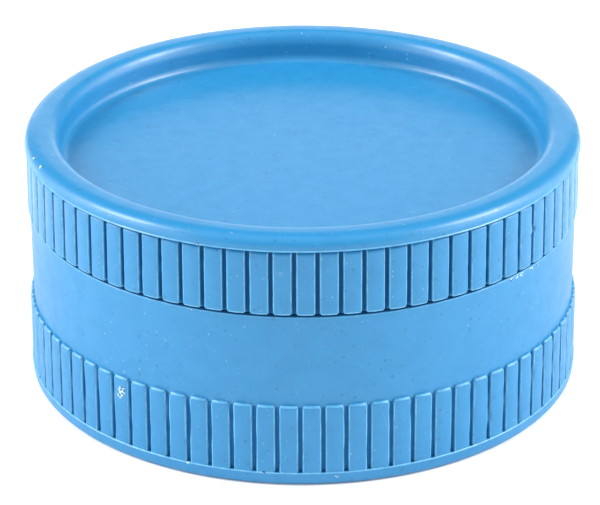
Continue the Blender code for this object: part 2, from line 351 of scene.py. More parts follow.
def lid_inside_outline():
    """From the skirt's edge up to the ceiling and in to the magnet's pocket."""
    corners = [(SKIRT_BORE + 0.5, LID_EDGE, 0.0), (SKIRT_BORE, LID_EDGE, 0.15)]
    corners += [(SKIRT_BORE, CEILING, 0.2)]
    corners += lands(LID_RINGS, CEILING, CEILING - LAND_TALL)
    corners += [(POST_RADIUS + POST_DRAFT, CEILING, POST_FILLET)]
    corners += [(POST_RADIUS, LID_POST_FACE, POST_ROUND)]
    corners += [(POCKET_RADIUS, LID_POST_FACE, POCKET_ROUND)]
    corners += [(POCKET_RADIUS, LID_POST_FACE + LID_POCKET_DEPTH, 0.0)]
    return rounded(corners)


print("lid section has", len(lid_rim_outline()) + len(lid_inside_outline()), "points")


# %% Lid rings
def lid_rib_rings():
    """The ribs from the neck under the bead down to the skirt's edge, one groove with a kink."""
    first, root = LID_GROOVE_ANGLE, LID_ROOT
    body = np.linspace(PARTING - NECK_END, LID_EDGE + END_CORNER, LID_RIB_LEVELS)
    sway = groove_sway(11, len(body), LID_SWAY)
    sway[KINKED_GROOVE, KINK_LEVEL:KINK_LEVEL + len(KINK)] += KINK
    rings = []
    for below, inset in NECK_STEPS:
        tip = LID_TIP_HIGH - NECK_DEPTH * inset
        rings.append(ribbed_ring(first, PARTING - below, root, tip, FAR_FROM_END, sway[:, 0]))
    for i, level in enumerate(body):
        share = (PARTING - level) / (PARTING - LID_EDGE)
        tip = LID_TIP_HIGH + (LID_TIP_LOW - LID_TIP_HIGH) * share
        rings.append(ribbed_ring(first, level, root, tip, level - LID_EDGE, sway[:, i]))
    for end in EDGE_STEPS[:0:-1]:
        rings.append(ribbed_ring(first, LID_EDGE + end, root, LID_TIP_LOW, end, sway[:, -1]))
    rings.append(ring(LID_ROOT - 0.02, LID_EDGE, ribbed_angles(LID_GROOVE_ANGLE, LID_TIP_LOW)))
    return rings


lid_angles = wide_angles(LID_GROOVE_ANGLE)
lid_rings = rings_of(lid_rim_outline(), lid_angles) + parting_bead_rings(lid_angles)
lid_rings += lid_rib_rings()
lid_rings += rings_of(lid_inside_outline(), lid_angles)
lid_skin = joined("lid_moulding", lid_rings)
print("lid skin:", len(lid_skin.polygons), "faces")

# %% [markdown]
# ## The base moulding
# The base is the same kind of skin, started in the magnet's pocket: down the centre post, over
# the lands and up the chamber wall to the collar that the lid turns round, out along the
# shoulder, down the plain band and the ribs, round the foot flange and in underneath. The base
# was cut more roughly than the lid, so its grooves stray further from straight.

# %% Base sizes
base_high = to_mm(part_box("base_shell")[1])
FOOT_RADIUS = base_high.x
COLLAR_TOP = base_high.z
SHOULDER = 19.15
SHOULDER_ROUND = 0.09
COLLAR_RADIUS = 28.0
CHAMBER_RADIUS = 26.4
CHAMBER_FLOOR = 3.5
BASE_POST_FACE = 10.8
BASE_POCKET_DEPTH = 4.05
BAND_HIGH = 29.59
BAND_LOW = 29.50
BASE_TIP_HIGH = 29.89
BASE_TIP_LOW = 29.92
BASE_RIB_TOP = 9.2
BASE_RIB_LEVELS = 14
BASE_SWAY = 0.034
BAND_LEVELS = (18.7, 14.0, BASE_RIB_TOP + 0.4)
RIB_END_STRETCH = 1.4
FLANGE_TOP = 1.5
FLANGE_ROUND = 0.06
FOOT_ROUND = 0.6
FOOT_INNER = 26.6
UNDERSIDE = 1.5
GATE_RADIUS = 1.6
BASE_RINGS = (11.0, 19.4)
print("base up to", round(COLLAR_TOP, 2), "mm, foot radius", round(FOOT_RADIUS, 2), "mm")


# %% Base section
def base_inside_outline():
    """From the magnet's pocket out to the shoulder."""
    corners = [(POCKET_RADIUS, BASE_POST_FACE - BASE_POCKET_DEPTH, 0.0)]
    corners += [(POCKET_RADIUS, BASE_POST_FACE, POCKET_ROUND)]
    corners += [(POST_RADIUS, BASE_POST_FACE, POST_ROUND)]
    corners += [(POST_RADIUS + POST_DRAFT, CHAMBER_FLOOR, POST_FILLET)]
    corners += lands(BASE_RINGS, CHAMBER_FLOOR, CHAMBER_FLOOR + LAND_TALL)[::-1]
    corners += [(CHAMBER_RADIUS - 0.1, CHAMBER_FLOOR, 0.5), (CHAMBER_RADIUS, COLLAR_TOP, 0.2)]
    corners += [(COLLAR_RADIUS, COLLAR_TOP, 0.2), (COLLAR_RADIUS, SHOULDER, 0.15)]
    corners += [(COLLAR_RADIUS + 0.6, SHOULDER, 0.0)]
    return rounded(corners)


def base_foot_outline():
    """From the flange's top edge round the foot to the middle of the underside."""
    corners = [(FOOT_RADIUS - FLANGE_ROUND, FLANGE_TOP, 0.0)]
    corners += [(FOOT_RADIUS, FLANGE_TOP - FLANGE_ROUND, 0.0), (FOOT_RADIUS - 0.12, 0.0, FOOT_ROUND)]
    corners += [(FOOT_INNER, 0.0, 0.25), (FOOT_INNER - 0.1, UNDERSIDE, 0.3)]
    corners += [(GATE_RADIUS + 0.3, UNDERSIDE, 0.15), (GATE_RADIUS, UNDERSIDE + 0.25, 0.0)]
    return rounded(corners, steps=6)


print("base section has", len(base_inside_outline()) + len(base_foot_outline()), "points")


# %% Base rings
def shoulder_rings(angles):
    """The rounded upper edge of the band."""
    rings = []
    for k in range(5):
        angle = math.radians(22.5 * k)
        radius = BAND_HIGH - SHOULDER_ROUND * (1.0 - math.sin(angle))
        rings.append(ring(radius, SHOULDER - SHOULDER_ROUND * (1.0 - math.cos(angle)), angles))
    return rings


def base_rib_rings():
    """The band, the round upper ends of the ribs, and the ribs down to the flange."""
    angles = ribbed_angles(BASE_GROOVE_ANGLE, BASE_TIP_HIGH)
    rings = shoulder_rings(angles)
    for level in BAND_LEVELS:
        share = (SHOULDER - level) / (SHOULDER - BASE_RIB_TOP)
        rings.append(ring(BAND_HIGH + (BAND_LOW - BAND_HIGH) * share, level, angles))
    body = np.linspace(BASE_RIB_TOP - END_CORNER - 0.06, FLANGE_TOP, BASE_RIB_LEVELS)
    sway = groove_sway(23, len(body), BASE_SWAY)
    for end in EDGE_STEPS:
        level = BASE_RIB_TOP - end * RIB_END_STRETCH
        rings.append(ribbed_ring(BASE_GROOVE_ANGLE, level, BAND_LOW, BASE_TIP_HIGH, end, sway[:, 0]))
    for i, level in enumerate(body):
        share = (BASE_RIB_TOP - level) / (BASE_RIB_TOP - FLANGE_TOP)
        tip = BASE_TIP_HIGH + (BASE_TIP_LOW - BASE_TIP_HIGH) * share
        rings.append(ribbed_ring(BASE_GROOVE_ANGLE, level, BAND_LOW, tip, FAR_FROM_END, sway[:, i]))
    return rings


base_angles = wide_angles(BASE_GROOVE_ANGLE)
base_rings = rings_of(base_inside_outline(), base_angles) + base_rib_rings()
base_rings += rings_of(base_foot_outline(), base_angles)
base_skin = joined("base_moulding", base_rings)
print("base skin:", len(base_skin.polygons), "faces")

# %% [markdown]
# ## Pin sockets
# Each pin stands in a drilled socket with a hair of room round it. A Boolean cuts them all at
# once: the cutter is one mesh of separate cylinders, one for each pin that the frame holds.

# %% Cut the sockets
PIN_SIDES = 32
SOCKET_DEPTH = 3.0
SOCKET_GAP = 0.05
CUTTER_OVERRUN = 1.0


def pin_nodes(prefix):
    """The frame's pins of one moulding."""
    return sorted(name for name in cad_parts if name.startswith(prefix + "_pin_"))


def pin_place(name):
    """(x, y, radius, lowest, highest) of a pin, in millimetres."""
    low, high = (to_mm(corner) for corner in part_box(name))
    return 0.5 * (low.x + high.x), 0.5 * (low.y + high.y), 0.5 * (high.x - low.x), low.z, high.z


def with_sockets(name, skin, prefix, mouth, inwards):
    """The moulding's mesh with its pin sockets cut; mouth is the height that they open at."""
    body = bmesh.new()
    for pin in pin_nodes(prefix):
        x, y, radius, _, _ = pin_place(pin)
        depth = SOCKET_DEPTH + CUTTER_OVERRUN
        middle = mouth + inwards * (0.5 * depth - CUTTER_OVERRUN)
        bmesh.ops.create_cone(
            body, cap_ends=True, segments=PIN_SIDES, depth=depth * MM,
            radius1=(radius + SOCKET_GAP) * MM, radius2=(radius + SOCKET_GAP) * MM,
            matrix=Matrix.Translation(Vector((x, y, middle)) * MM),
        )
    cutter_mesh = bpy.data.meshes.new(name + "_cutter")
    body.to_mesh(cutter_mesh)
    body.free()
    cutter = bpy.data.objects.new(name + "_cutter", cutter_mesh)
    blank = bpy.data.objects.new(name + "_blank", skin)
    for thing in (cutter, blank):
        bpy.context.scene.collection.objects.link(thing)
    drill = blank.modifiers.new("Sockets", "BOOLEAN")
    drill.operation = "DIFFERENCE"
    drill.solver = "EXACT"
    drill.object = cutter
    bpy.context.view_layer.update()
    evaluated = blank.evaluated_get(bpy.context.evaluated_depsgraph_get())
    drilled = bpy.data.meshes.new_from_object(evaluated)
    drilled.name = name
    for thing in (cutter, blank):
        bpy.data.objects.remove(thing, do_unlink=True)
    return drilled


lid_mesh = with_sockets("lid_moulding", lid_skin, "lid", CEILING - LAND_TALL, 1.0)
base_mesh = with_sockets("base_moulding", base_skin, "base", CHAMBER_FLOOR + LAND_TALL, -1.0)
print("drilled:", len(lid_mesh.polygons), "and", len(base_mesh.polygons), "faces")

# %% [markdown]
# ## Surface effects
# The effects that several finishes share are node groups. Each takes places in millimetres and
# gives back a mask, a height or a colour that changes over the surface, never a whole shader.


# %% Node helpers
class Nodes:
    """Adds nodes to one tree and joins them."""

    def __init__(self, tree):
        self.tree = tree

    def add(self, kind, **settings):
        """A new node with these settings."""
        node = self.tree.nodes.new(kind)
        for key, value in settings.items():
            setattr(node, key, value)
        return node

    def put(self, socket, value):
        """Links an output to a socket, or sets the socket's own value."""
        if isinstance(value, bpy.types.NodeSocket):
            self.tree.links.new(value, socket)
        else:
            socket.default_value = value

    def math(self, operation, first, second=0.0, third=0.0):
        """One sum of numbers."""
        node = self.add("ShaderNodeMath", operation=operation)
        for socket, value in zip(node.inputs, (first, second, third)):
            self.put(socket, value)
        return node.outputs[0]

    def ramp(self, value, low, high, to_low=0.0, to_high=1.0):
        """Maps low..high to to_low..to_high, smoothly and without running past the ends."""
        node = self.add("ShaderNodeMapRange", interpolation_type="SMOOTHSTEP")
        for socket, given in zip(node.inputs, (value, low, high, to_low, to_high)):
            self.put(socket, given)
        return node.outputs["Result"]

    def vector(self, operation, first, second):
        """One sum of two vectors; MULTIPLY and ADD work on each part on its own."""
        node = self.add("ShaderNodeVectorMath", operation=operation)
        self.put(node.inputs[0], first)
        self.put(node.inputs[1], second)
        return node.outputs

    def scaled(self, vector, factors):
        """A vector with its three parts multiplied by these factors."""
        return self.vector("MULTIPLY", vector, factors)["Vector"]

    def warped(self, vector, scale, reach):
        """The places, each moved a little by a noise of colours."""
        node = self.add("ShaderNodeTexNoise")
        self.put(node.inputs["Vector"], vector)
        self.put(node.inputs["Scale"], scale)
        shift = self.scaled(node.outputs["Color"], (reach, reach, reach))
        return self.vector("ADD", vector, shift)["Vector"]

    def noise(self, vector, scale, detail=2.0, roughness=0.5):
        """A cloudy number between 0 and 1."""
        node = self.add("ShaderNodeTexNoise")
        self.put(node.inputs["Vector"], vector)
        self.put(node.inputs["Scale"], scale)
        self.put(node.inputs["Detail"], detail)
        self.put(node.inputs["Roughness"], roughness)
        return node.outputs["Fac"]

    def blend(self, amount, first, second):
        """Mixes two colours."""
        node = self.add("ShaderNodeMix", data_type="RGBA")
        self.put(node.inputs["Factor"], amount)
        self.put(node.inputs["A"], first)
        self.put(node.inputs["B"], second)
        return node.outputs["Result"]

    def group(self, tree, **values):
        """Places a node group; its inputs are named with spaces where the keys have underscores."""
        node = self.add("ShaderNodeGroup")
        node.node_tree = tree
        for key, value in values.items():
            self.put(node.inputs[key.replace("_", " ")], value)
        return node.outputs


def new_group(name, inputs, outputs):
    """A node group with these (name, socket type, default) inputs and (name, type) outputs."""
    tree = bpy.data.node_groups.new(name, "ShaderNodeTree")
    for title, kind, default in inputs:
        socket = tree.interface.new_socket(name=title, in_out="INPUT", socket_type=kind)
        if default is not None:
            socket.default_value = default
    for title, kind in outputs:
        tree.interface.new_socket(name=title, in_out="OUTPUT", socket_type=kind)
    nodes = Nodes(tree)
    return tree, nodes, nodes.add("NodeGroupInput").outputs, nodes.add("NodeGroupOutput").inputs


FLOAT, VECTOR = "NodeSocketFloat", "NodeSocketVector"
print("node helpers ready")


# %% Flecks scattered in the plastic
def make_fleck_group():
    """Specks of uneven size, in a chosen share of the cells of a cell pattern."""
    inputs = [("Place", VECTOR, None), ("Spacing", FLOAT, 1.0)]
    inputs += [("Share", FLOAT, 0.3), ("Size", FLOAT, 0.1)]
    tree, nodes, given, result = new_group("Flecks", inputs, [("Mask", FLOAT)])
    cells = nodes.add("ShaderNodeTexVoronoi")
    nodes.put(cells.inputs["Vector"], nodes.warped(given["Place"], scale=6.0, reach=0.24))
    nodes.put(cells.inputs["Scale"], nodes.math("DIVIDE", 1.0, given["Spacing"]))
    parts = nodes.add("ShaderNodeSeparateColor")
    nodes.put(parts.inputs[0], cells.outputs["Color"])
    distance = nodes.math("MULTIPLY", cells.outputs["Distance"], given["Spacing"])
    size = nodes.math("MULTIPLY", given["Size"], nodes.math("ADD", parts.outputs["Green"], 0.4))
    spot = nodes.ramp(nodes.math("DIVIDE", distance, size), 1.0, 0.55)
    chosen = nodes.math("LESS_THAN", parts.outputs["Red"], given["Share"])
    nodes.put(result["Mask"], nodes.math("MULTIPLY", spot, chosen))
    return tree


fleck_group = make_fleck_group()
print("group:", fleck_group.name)


# %% Grain of a moulded surface
def make_grain_group():
    """A fine spark-eroded grain, with a softer unevenness under it."""
    inputs = [("Place", VECTOR, None), ("Fine", FLOAT, 14.0), ("Broad", FLOAT, 1.2)]
    outputs = [("Height", FLOAT), ("Cloud", FLOAT)]
    tree, nodes, given, result = new_group("Moulded grain", inputs, outputs)
    fine = nodes.noise(given["Place"], given["Fine"], 3.0, 0.6)
    broad = nodes.noise(given["Place"], given["Broad"], 3.0, 0.55)
    fine_part = nodes.math("MULTIPLY", fine, 0.65)
    nodes.put(result["Height"], nodes.math("MULTIPLY_ADD", broad, 0.35, fine_part))
    cloud_scale = nodes.math("MULTIPLY", given["Broad"], 0.35)
    nodes.put(result["Cloud"], nodes.noise(given["Place"], cloud_scale, 4.0, 0.6))
    return tree


grain_group = make_grain_group()
print("group:", grain_group.name)


# %% Marks that run round a turned or rubbed surface
def make_turning_group():
    """Fine lines round the axis: a noise that is stretched sideways and packed along the height."""
    inputs = [("Place", VECTOR, None), ("Stretch", VECTOR, (0.4, 0.4, 9.0))]
    outputs = [("Height", FLOAT), ("Mask", FLOAT)]
    tree, nodes, given, result = new_group("Turning marks", inputs, outputs)
    lines = nodes.noise(nodes.scaled(given["Place"], given["Stretch"]), 1.0, 4.0, 0.65)
    nodes.put(result["Height"], lines)
    nodes.put(result["Mask"], nodes.ramp(lines, 0.58, 0.72))
    return tree


turning_group = make_turning_group()
print("group:", turning_group.name)


# %% Small scratches
def make_scratch_group():
    """Thin short scratches in many directions, from the edges of a stretched cell pattern."""
    inputs = [("Place", VECTOR, None), ("Scale", FLOAT, 0.35), ("Width", FLOAT, 0.012)]
    tree, nodes, given, result = new_group("Hair scratches", inputs, [("Mask", FLOAT)])
    cells = nodes.add("ShaderNodeTexVoronoi", feature="DISTANCE_TO_EDGE")
    nodes.put(cells.inputs["Vector"], nodes.warped(given["Place"], scale=0.5, reach=2.5))
    nodes.put(cells.inputs["Scale"], given["Scale"])
    line = nodes.ramp(cells.outputs["Distance"], given["Width"], 0.0)
    broken = nodes.ramp(nodes.noise(given["Place"], 0.9, 2.0), 0.55, 0.68)
    nodes.put(result["Mask"], nodes.math("MULTIPLY", line, broken))
    return tree


scratch_group = make_scratch_group()
print("group:", scratch_group.name)


# %% Grooves and the edges of the ribs that take painted highlights
MARKS_RADIUS = 29.8


def make_rib_group():
    """Where a place lies across the ribs: down in a groove, or on the band along a rib's edge that
    takes a painted highlight.
    """
    inputs = [("Place", VECTOR, None), ("First", FLOAT, 0.0)]
    tree, nodes, given, result = new_group("Rib marks", inputs, [("Groove", FLOAT), ("Edge", FLOAT)])
    parts = nodes.add("ShaderNodeSeparateXYZ")
    nodes.put(parts.inputs[0], given["Place"])
    angle = nodes.math("ARCTAN2", parts.outputs["Y"], parts.outputs["X"])
    turns = nodes.math("DIVIDE", nodes.math("SUBTRACT", angle, given["First"]), RIB_PITCH)
    off_centre = nodes.math("SUBTRACT", nodes.math("FRACT", nodes.math("ADD", turns, 0.5)), 0.5)
    across = nodes.math("MULTIPLY", nodes.math("ABSOLUTE", off_centre), RIB_PITCH * MARKS_RADIUS)
    nodes.put(result["Groove"], nodes.ramp(across, GROOVE_HALF + 0.07, GROOVE_HALF - 0.05))
    inner = nodes.ramp(across, GROOVE_HALF + 0.02, GROOVE_HALF + 0.08)
    outer = nodes.ramp(across, GROOVE_HALF + 0.22, GROOVE_HALF + 0.10)
    nodes.put(result["Edge"], nodes.math("MULTIPLY", inner, outer))
    return tree


rib_group = make_rib_group()
print("group:", rib_group.name)


# %% A mark between two heights
def make_belt_group():
    """A belt round the piece between two heights, and how far a place is from the axis."""
    inputs = [("Place", VECTOR, None), ("Low", FLOAT, 0.0)]
    inputs += [("High", FLOAT, 1.0), ("Fade", FLOAT, 0.05)]
    tree, nodes, given, result = new_group("Belt", inputs, [("Mask", FLOAT), ("Radius", FLOAT)])
    parts = nodes.add("ShaderNodeSeparateXYZ")
    nodes.put(parts.inputs[0], given["Place"])
    height = parts.outputs["Z"]
    over = nodes.ramp(height, nodes.math("SUBTRACT", given["Low"], given["Fade"]), given["Low"])
    under = nodes.ramp(height, nodes.math("ADD", given["High"], given["Fade"]), given["High"])
    nodes.put(result["Mask"], nodes.math("MULTIPLY", over, under))
    flat = nodes.scaled(given["Place"], (1.0, 1.0, 0.0))
    length = nodes.add("ShaderNodeVectorMath", operation="LENGTH")
    nodes.put(length.inputs[0], flat)
    nodes.put(result["Radius"], length.outputs["Value"])
    return tree


belt_group = make_belt_group()
print("group:", belt_group.name)


# %% One chip at a chosen place
def make_chip_group():
    """A ragged patch round one point, where the plastic is bruised and has turned pale."""
    inputs = [("Place", VECTOR, None), ("Centre", VECTOR, (0.0, 0.0, 0.0)), ("Size", FLOAT, 0.4)]
    tree, nodes, given, result = new_group("Chip", inputs, [("Mask", FLOAT)])
    apart = nodes.vector("DISTANCE", given["Place"], given["Centre"])["Value"]
    ragged = nodes.math("MULTIPLY_ADD", nodes.noise(given["Place"], 7.0, 3.0, 0.7), 1.6, -0.8)
    reach = nodes.math("ADD", nodes.math("DIVIDE", apart, given["Size"]), ragged)
    nodes.put(result["Mask"], nodes.ramp(reach, 1.0, 0.7))
    return tree


chip_group = make_chip_group()
print("group:", chip_group.name)

# %% [markdown]
# ## Finishes
# Every finish is one Principled shader. Its plain numbers sit on the shader's own sockets, and
# only what changes over the surface comes through nodes.


# %% Starting a material
def new_material(name, roughness, metallic=0.0, ior=1.5):
    """A material, its node helper, its shader and its places in millimetres."""
    material = bpy.data.materials.new(name)
    material.use_nodes = True
    nodes = Nodes(material.node_tree)
    shader = material.node_tree.nodes["Principled BSDF"]
    shader.inputs["Roughness"].default_value = roughness
    shader.inputs["Metallic"].default_value = metallic
    shader.inputs["IOR"].default_value = ior
    coordinates = nodes.add("ShaderNodeTexCoord")
    place = nodes.scaled(coordinates.outputs["Object"], (1000.0, 1000.0, 1000.0))
    return material, nodes, shader, place


def bump(nodes, height, strength, distance, normal=None):
    """A Bump node; its distance is in millimetres."""
    node = nodes.add("ShaderNodeBump")
    nodes.put(node.inputs["Height"], height)
    node.inputs["Strength"].default_value = strength
    node.inputs["Distance"].default_value = distance * MM
    if normal:
        nodes.put(node.inputs["Normal"], normal)
    return node.outputs["Normal"]


print("materials start from a Principled shader")

# %% [markdown]
# ## Flecked blue plastic
# The mouldings are a clear mid blue with flecks: dull dark ones a few tenths of a millimetre
# across, fewer and smaller pale ones, and faint clouds where the pigment didn't mix evenly.
# Years of handling have left hair scratches, and a few chips have turned pale. The grooves
# and the ledge in the seam are darkened with painted shade, and pale lines along the edges of
# the ribs, the parting bead, the band and the foot flange are painted highlights. All of it
# could be painted on a picture, but then the marks would have to be laid out by hand. Masks
# worked out from the place on the piece land on the right edge by themselves, and stay sharp
# close up.

# %% Colours of the plastic
PLASTIC_BLUE = (0.018, 0.207, 0.442, 1.0)
PLASTIC_DEEP = (0.015, 0.193, 0.418, 1.0)
DARK_FLECK = (0.012, 0.085, 0.160, 1.0)
PALE_FLECK = (0.300, 0.520, 0.680, 1.0)
CHIP_WHITE = (0.420, 0.620, 0.720, 1.0)
# Dark blue of the painted shade in the grooves and the seam ledge, also the dark mottle of a chip's
# bruise.
SHADE_AND_BRUISE_BLUE = (0.001, 0.066, 0.210, 1.0)
# Pale blue of the painted highlights along the rib edges and the edge lines.
EDGE_HIGHLIGHT = (0.150, 0.450, 0.680, 1.0)
print("plastic colours: 7")


# %% Flecks and scratches in the plastic
FLECK_STRENGTH = 0.38
DOT_STRENGTH = 0.45
PALE_STRENGTH = 0.65
SCRATCH_STRENGTH = 0.22
# Roughness where the painted shade lies, so that it shows no sheen.
SHADE_ROUGHNESS = 0.95
CHIP_ROUGHNESS = 0.7


def flecked_colour(nodes, place, cloud, scratches):
    """The blue with its clouds, dark flecks, dark and pale dots, and scratches."""
    dark = nodes.group(fleck_group, Place=place, Spacing=1.0, Share=0.45, Size=0.20)["Mask"]
    dots = nodes.group(fleck_group, Place=place, Spacing=0.55, Share=0.36, Size=0.11)["Mask"]
    pale = nodes.group(fleck_group, Place=place, Spacing=0.60, Share=0.36, Size=0.08)["Mask"]
    crowding = nodes.noise(place, scale=0.16, detail=3.0, roughness=0.6)
    gathered = nodes.ramp(crowding, 0.40, 0.62, 0.35, 1.0)
    dots = nodes.math("MULTIPLY", dots, nodes.math("MULTIPLY", gathered, DOT_STRENGTH))
    pale = nodes.math("MULTIPLY", pale, nodes.math("MULTIPLY", gathered, PALE_STRENGTH))
    colour = nodes.blend(nodes.ramp(cloud, 0.35, 0.70), PLASTIC_BLUE, PLASTIC_DEEP)
    colour = nodes.blend(nodes.math("MULTIPLY", dark, FLECK_STRENGTH), colour, DARK_FLECK)
    colour = nodes.blend(dots, colour, DARK_FLECK)
    colour = nodes.blend(pale, colour, PALE_FLECK)
    return nodes.blend(nodes.math("MULTIPLY", scratches, SCRATCH_STRENGTH), colour, PALE_FLECK)


print("fleck strengths:", FLECK_STRENGTH, DOT_STRENGTH, PALE_STRENGTH)


# %% Painted shade in the grooves and the seam, painted highlights on the edges
RIBS_INNER, RIBS_OUTER = 28.6, 29.0
LEDGE_INNER, LEDGE_OUTER = 28.1, 28.2


def rib_marks(nodes, place, ribs):
    """Masks of the grooves and of the ribs' long edges; ribs is (first angle, low, high)."""
    first, low, high = ribs
    marks = nodes.group(rib_group, Place=place, First=first)
    belt = nodes.group(belt_group, Place=place, Low=low, High=high, Fade=0.05)
    outer = nodes.ramp(belt["Radius"], RIBS_INNER, RIBS_OUTER)
    outside = nodes.math("MULTIPLY", belt["Mask"], outer)
    grooves = nodes.math("MULTIPLY", marks["Groove"], outside)
    return grooves, nodes.math("MULTIPLY", marks["Edge"], outside)


def edge_highlights(nodes, place, grooves, edges, lines):
    """Painted highlights on the ribs' edges and along lines that run round, each (low, high, radius,
    strength), broken into patches.
    """
    not_groove = nodes.math("SUBTRACT", 1.0, grooves)
    for low, high, radius, strength in lines:
        line = nodes.group(belt_group, Place=place, Low=low, High=high, Fade=0.03)
        # Each line is a painted highlight that runs round the piece.
        outer = nodes.ramp(line["Radius"], radius - 0.05, radius, 0.0, strength)
        highlight = nodes.math("MULTIPLY", line["Mask"], outer)
        edges = nodes.math("MAXIMUM", edges, nodes.math("MULTIPLY", highlight, not_groove))
    patches = nodes.noise(place, scale=1.3, detail=4.0, roughness=0.7)
    return nodes.math("MULTIPLY", edges, nodes.ramp(patches, 0.25, 0.70, 0.35, 0.95))


def seam_shade(nodes, place, seam):
    """A mask of the painted shade on the ledge in the seam; seam is (low, high, outside radius)."""
    low, high, outside = seam
    gap = nodes.group(belt_group, Place=place, Low=low, High=high, Fade=0.02)
    from_inside = nodes.ramp(gap["Radius"], LEDGE_INNER, LEDGE_OUTER)
    to_outside = nodes.ramp(gap["Radius"], outside, outside - 0.12)
    return nodes.math("MULTIPLY", gap["Mask"], nodes.math("MULTIPLY", from_inside, to_outside))


print("the marks of the ribs start at radius", RIBS_INNER, "mm")


# %% Chips
def on_side(azimuth, radius, height):
    """A place on the outside; azimuth 0 is the front and it grows to the right."""
    turn = math.radians(azimuth)
    return radius * math.sin(turn), -radius * math.cos(turn), height


def chip_mask(nodes, place, chips):
    """One mask for all these chips, each (azimuth in degrees, radius, height, size)."""
    chipped = 0.0
    for azimuth, radius, height, size in chips:
        centre = on_side(azimuth, radius, height)
        mask = nodes.group(chip_group, Place=place, Centre=centre, Size=size)["Mask"]
        chipped = nodes.math("MAXIMUM", chipped, mask)
    return chipped


SEAM_NICKS = ((46.5, 0.30), (48.2, 0.24), (49.8, 0.30), (53.3, 0.30), (55.4, 0.24))
LID_CHIPS = (
    (-77.5, 29.5, 27.6, 0.22), (-73.5, 29.5, 27.6, 0.30), (-68.5, 29.5, 27.5, 0.32),
    (-20.7, 29.9, 26.5, 0.26),
    (50.5, 29.9, 19.4, 0.26), (53.3, 29.9, 19.4, 0.24), (37.9, 29.9, 19.4, 0.20),
)
BASE_CHIPS = (
    (-39.2, 29.9, 7.6, 0.55), (-39.6, 29.9, 7.0, 0.45),
    (6.4, 30.0, 1.0, 0.20), (-23.6, 30.0, 1.5, 0.24), (-7.9, 30.0, 1.5, 0.20),
    *((azimuth, 29.6, 18.85, size) for azimuth, size in SEAM_NICKS),
)
print("chips:", len(LID_CHIPS), "on the lid,", len(BASE_CHIPS), "on the base")


# %% Blue plastic put together
def make_blue_plastic(name, chips, ribs, lines, seam, painted_shade, dull):
    """The flecked plastic of one moulding, with its own chips, painted shade in the grooves and seam,
    and painted highlights on the edges.

    The strength of the painted shade in the grooves and the seam comes after the seam, and dull is the
    roughness of the plain plastic.
    """
    material, nodes, shader, place = new_material(name, dull, ior=1.5)
    grain = nodes.group(grain_group, Place=place, Fine=11.0, Broad=1.4)
    scratches = nodes.group(scratch_group, Place=place)["Mask"]
    turning = nodes.group(turning_group, Place=place)
    grooves, edges = rib_marks(nodes, place, ribs)
    edges = edge_highlights(nodes, place, grooves, edges, lines)
    # The painted shade covers the grooves and the ledge in the seam.
    shade = nodes.math("MAXIMUM", seam_shade(nodes, place, seam), grooves)
    chipped = chip_mask(nodes, place, chips)
    colour = flecked_colour(nodes, place, grain["Cloud"], scratches)
    # Painted highlights: the pale edge blue over the rib edges and the edge lines.
    colour = nodes.blend(edges, colour, EDGE_HIGHLIGHT)
    # Painted shade: the grooves and the seam ledge are darkened with the dark blue.
    colour = nodes.blend(nodes.math("MULTIPLY", shade, painted_shade), colour, SHADE_AND_BRUISE_BLUE)
    mottle = nodes.ramp(nodes.noise(place, scale=4.5), 0.45, 0.60)
    bruise = nodes.blend(mottle, SHADE_AND_BRUISE_BLUE, CHIP_WHITE)
    nodes.put(shader.inputs["Base Color"], nodes.blend(chipped, colour, bruise))
    rough = nodes.ramp(grain["Cloud"], 0.3, 0.75, dull - 0.03, dull + 0.03)
    rough = nodes.math("MULTIPLY_ADD", turning["Mask"], 0.08, rough)
    rough = nodes.math("MAXIMUM", rough, nodes.math("MULTIPLY", shade, SHADE_ROUGHNESS))
    rough = nodes.math("MAXIMUM", rough, nodes.math("MULTIPLY", chipped, CHIP_ROUGHNESS))
    nodes.put(shader.inputs["Roughness"], rough)
    cuts = nodes.math("ADD", scratches, chipped)
    normal = bump(nodes, grain["Height"], strength=0.45, distance=0.02)
    normal = bump(nodes, turning["Height"], strength=0.25, distance=0.02, normal=normal)
    normal = bump(nodes, cuts, strength=-0.6, distance=0.03, normal=normal)
    nodes.put(shader.inputs["Normal"], normal)
    return material


print("the blue plastic takes chips, ribs, worn lines, a seam, dirt and dullness")

# %% Plastic of the lid
# Pale lines that paint highlights on the lid: on the parting bead and along the ribs' lower ends.
lid_lines = [
    (PARTING + 0.05, PARTING + BEAD_TALL, RIM_RADIUS, 0.7),
    (LID_EDGE + 0.01, LID_EDGE + 0.24, LID_TIP_LOW - 0.20, 1.0),
]
lid_plastic = make_blue_plastic(
    "flecked_lid_plastic", LID_CHIPS,
    ribs=(LID_GROOVE_ANGLE, LID_EDGE, PARTING - 0.02), lines=lid_lines,
    seam=(LID_EDGE - 0.1, LID_EDGE + 0.005, LID_TIP_LOW - 0.30), painted_shade=0.75, dull=0.31,
)
print("plastic:", lid_plastic.name)

# %% Plastic of the base
# Pale lines that paint highlights on the base: the top edge of the foot flange, the band under its
# shoulder and the round upper ends of the ribs.
base_lines = [
    (FLANGE_TOP - 0.10, FLANGE_TOP + 0.01, FOOT_RADIUS - 0.10, 1.0),
    (SHOULDER - 0.13, SHOULDER - 0.03, BAND_HIGH - 0.08, 0.45),
    (BASE_RIB_TOP - 0.24, BASE_RIB_TOP - 0.09, BAND_HIGH + 0.12, 0.7),
]
base_plastic = make_blue_plastic(
    "flecked_base_plastic", BASE_CHIPS,
    ribs=(BASE_GROOVE_ANGLE, FLANGE_TOP + 0.02, BASE_RIB_TOP - 0.35), lines=base_lines,
    seam=(SHOULDER - 0.02, SHOULDER + 0.1, BAND_HIGH - 0.04), painted_shade=0.48, dull=0.38,
)
print("plastic:", base_plastic.name)

